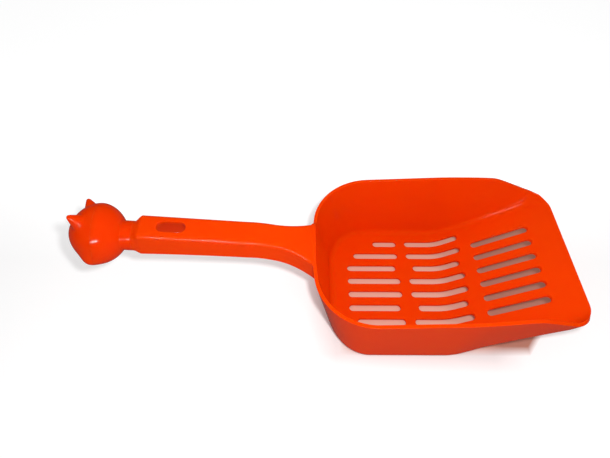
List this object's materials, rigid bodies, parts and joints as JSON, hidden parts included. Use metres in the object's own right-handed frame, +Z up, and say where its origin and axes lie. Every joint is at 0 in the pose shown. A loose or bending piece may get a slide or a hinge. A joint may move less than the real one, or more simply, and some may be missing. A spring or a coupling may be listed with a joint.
{
  "type": "sifting sand scoop",
  "caption": "Hand scoop with a slotted floor and ramp for sifting sand or litter, a hollow curved handle with a hanging slot, and a turning cat-head knob.",
  "frame": {"origin": "on the flat underside of the pan that it rests on, in the mirror plane, 19.5 mm in front of the back rim", "axes": "+Z up, +X from the handle to the lip, +Y to the left of a user who looks along +X"},
  "size_m": [0.274, 0.0986, 0.0788],
  "materials": {
    "scoop_plastic": "glossy saturated orange injection-moulded polypropylene",
    "knob_plastic": "glossy saturated orange moulded plastic, the same colour as the scoop",
    "zinc_steel": "bright zinc-plated steel"
  },
  "bodies": {
    "scoop": {"scoop_body": "scoop_plastic", "retaining_washer": "zinc_steel", "retaining_screw": "zinc_steel"},
    "knob": {"knob_neck_shell": "knob_plastic", "knob_face_shell": "knob_plastic"}
  },
  "joints": [
    {"name": "knob_turn", "type": "hinge", "parent": "scoop", "child": "knob", "pos_m": [-0.1332, 0, 0.0588], "axis": [-0.9959, 0, 0.09], "continuous": true}
  ]
}
